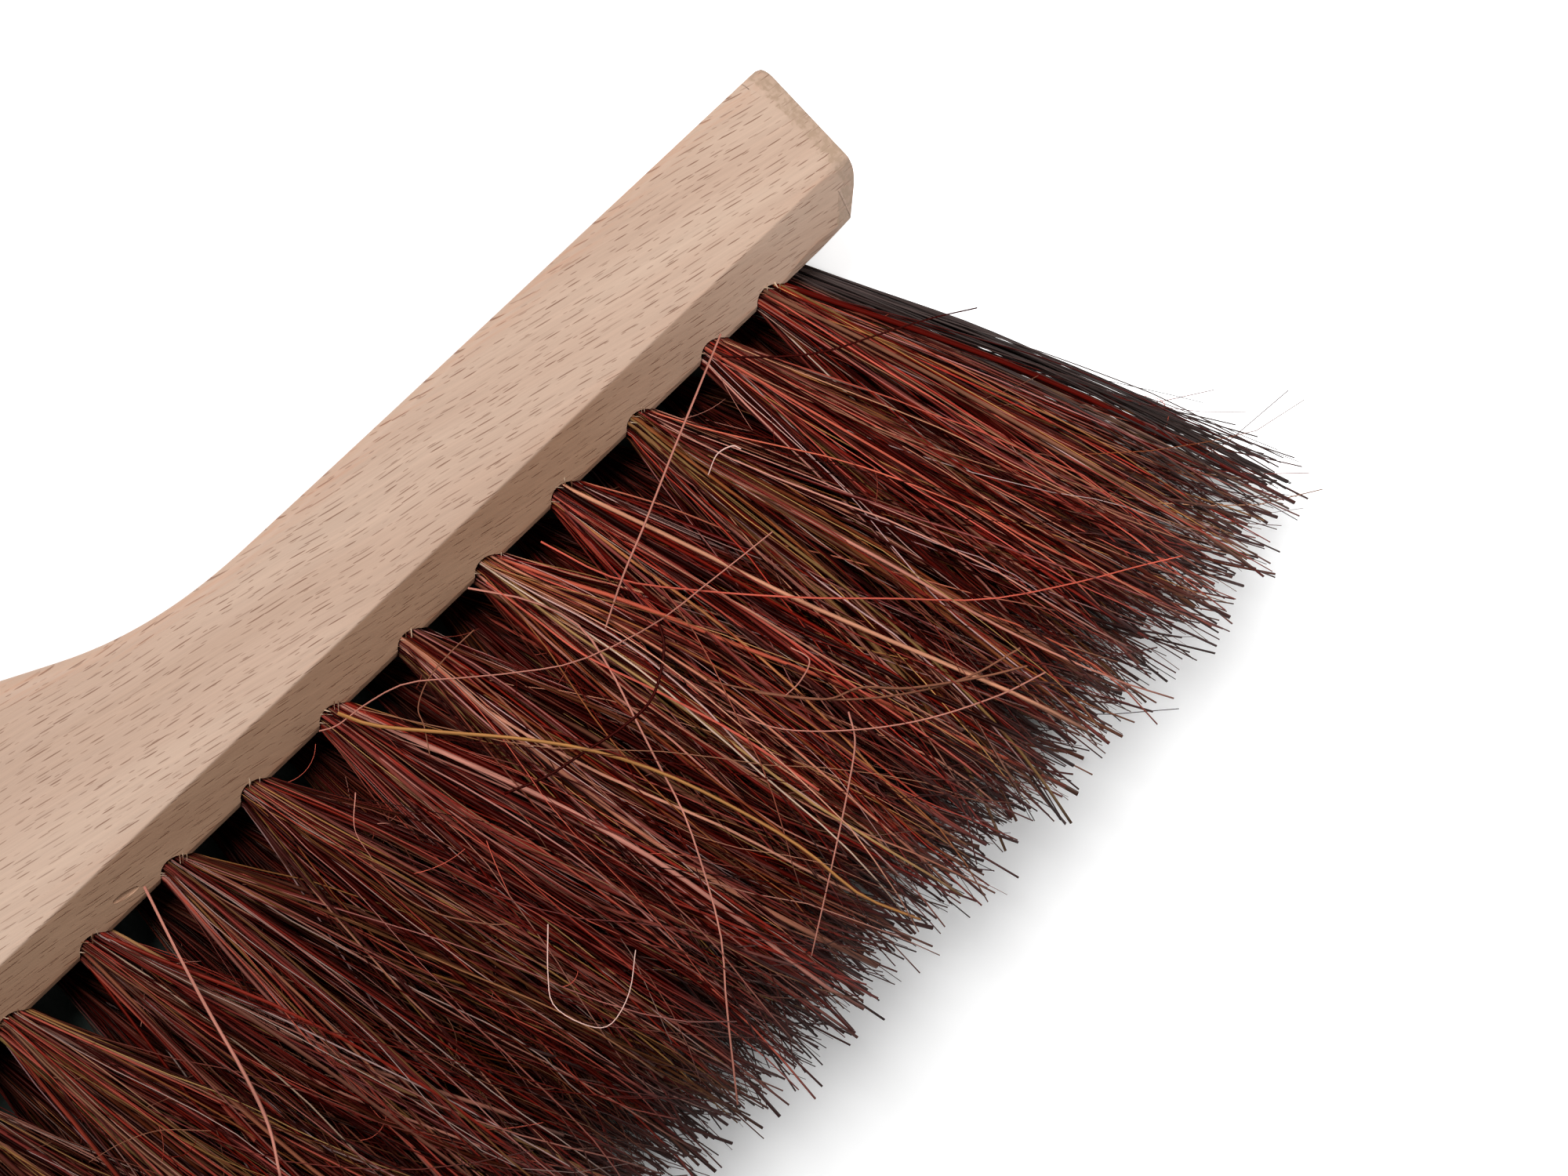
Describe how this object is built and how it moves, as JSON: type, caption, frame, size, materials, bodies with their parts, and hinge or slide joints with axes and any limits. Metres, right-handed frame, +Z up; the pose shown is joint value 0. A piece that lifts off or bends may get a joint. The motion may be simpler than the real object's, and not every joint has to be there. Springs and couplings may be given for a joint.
{
  "type": "bee brush",
  "caption": "Long wooden hand brush with rows of long plant-fibre tufts in a bevelled block that runs back into a raised, rounded handle.",
  "frame": {"origin": "bottom centre of the whole brush's box, on the surface that it lies on with one side face down", "axes": "+X along the block to its tip, +Y from the bristles to the spine of the block, +Z up through the block's thickness"},
  "size_m": [0.3378, 0.116, 0.024],
  "materials": {
    "beech": "sanded, unvarnished beech with short dark flecks",
    "dark_fibre": "stiff near-black plant fibre",
    "red_brown_fibre": "stiff red-brown plant fibre",
    "orange_brown_fibre": "stiff orange-brown plant fibre",
    "anchor_wire": "flat-rolled steel wire"
  },
  "bodies": {
    "root": {"block_and_handle": "beech", "tuft_end": "dark_fibre", "tuft_upper_01": "red_brown_fibre", "tuft_upper_02": "orange_brown_fibre", "tuft_upper_03": "dark_fibre", "tuft_upper_04": "red_brown_fibre", "tuft_upper_05": "orange_brown_fibre", "tuft_upper_06": "dark_fibre", "tuft_upper_07": "red_brown_fibre", "tuft_upper_08": "orange_brown_fibre", "tuft_upper_09": "dark_fibre", "tuft_upper_10": "red_brown_fibre", "tuft_upper_11": "orange_brown_fibre", "tuft_upper_12": "dark_fibre", "tuft_upper_13": "red_brown_fibre", "tuft_lower_01": "orange_brown_fibre", "tuft_lower_02": "dark_fibre", "tuft_lower_03": "red_brown_fibre", "tuft_lower_04": "orange_brown_fibre", "tuft_lower_05": "dark_fibre", "tuft_lower_06": "red_brown_fibre", "tuft_lower_07": "orange_brown_fibre", "tuft_lower_08": "dark_fibre", "tuft_lower_09": "red_brown_fibre", "tuft_lower_10": "orange_brown_fibre", "tuft_lower_11": "dark_fibre", "tuft_lower_12": "red_brown_fibre", "tuft_lower_13": "orange_brown_fibre", "anchor_end": "anchor_wire", "anchor_upper_01": "anchor_wire", "anchor_upper_02": "anchor_wire", "anchor_upper_03": "anchor_wire", "anchor_upper_04": "anchor_wire", "anchor_upper_05": "anchor_wire", "anchor_upper_06": "anchor_wire", "anchor_upper_07": "anchor_wire", "anchor_upper_08": "anchor_wire", "anchor_upper_09": "anchor_wire", "anchor_upper_10": "anchor_wire", "anchor_upper_11": "anchor_wire", "anchor_upper_12": "anchor_wire", "anchor_upper_13": "anchor_wire", "anchor_lower_01": "anchor_wire", "anchor_lower_02": "anchor_wire", "anchor_lower_03": "anchor_wire", "anchor_lower_04": "anchor_wire", "anchor_lower_05": "anchor_wire", "anchor_lower_06": "anchor_wire", "anchor_lower_07": "anchor_wire", "anchor_lower_08": "anchor_wire", "anchor_lower_09": "anchor_wire", "anchor_lower_10": "anchor_wire", "anchor_lower_11": "anchor_wire", "anchor_lower_12": "anchor_wire", "anchor_lower_13": "anchor_wire"}
  },
  "joints": []
}
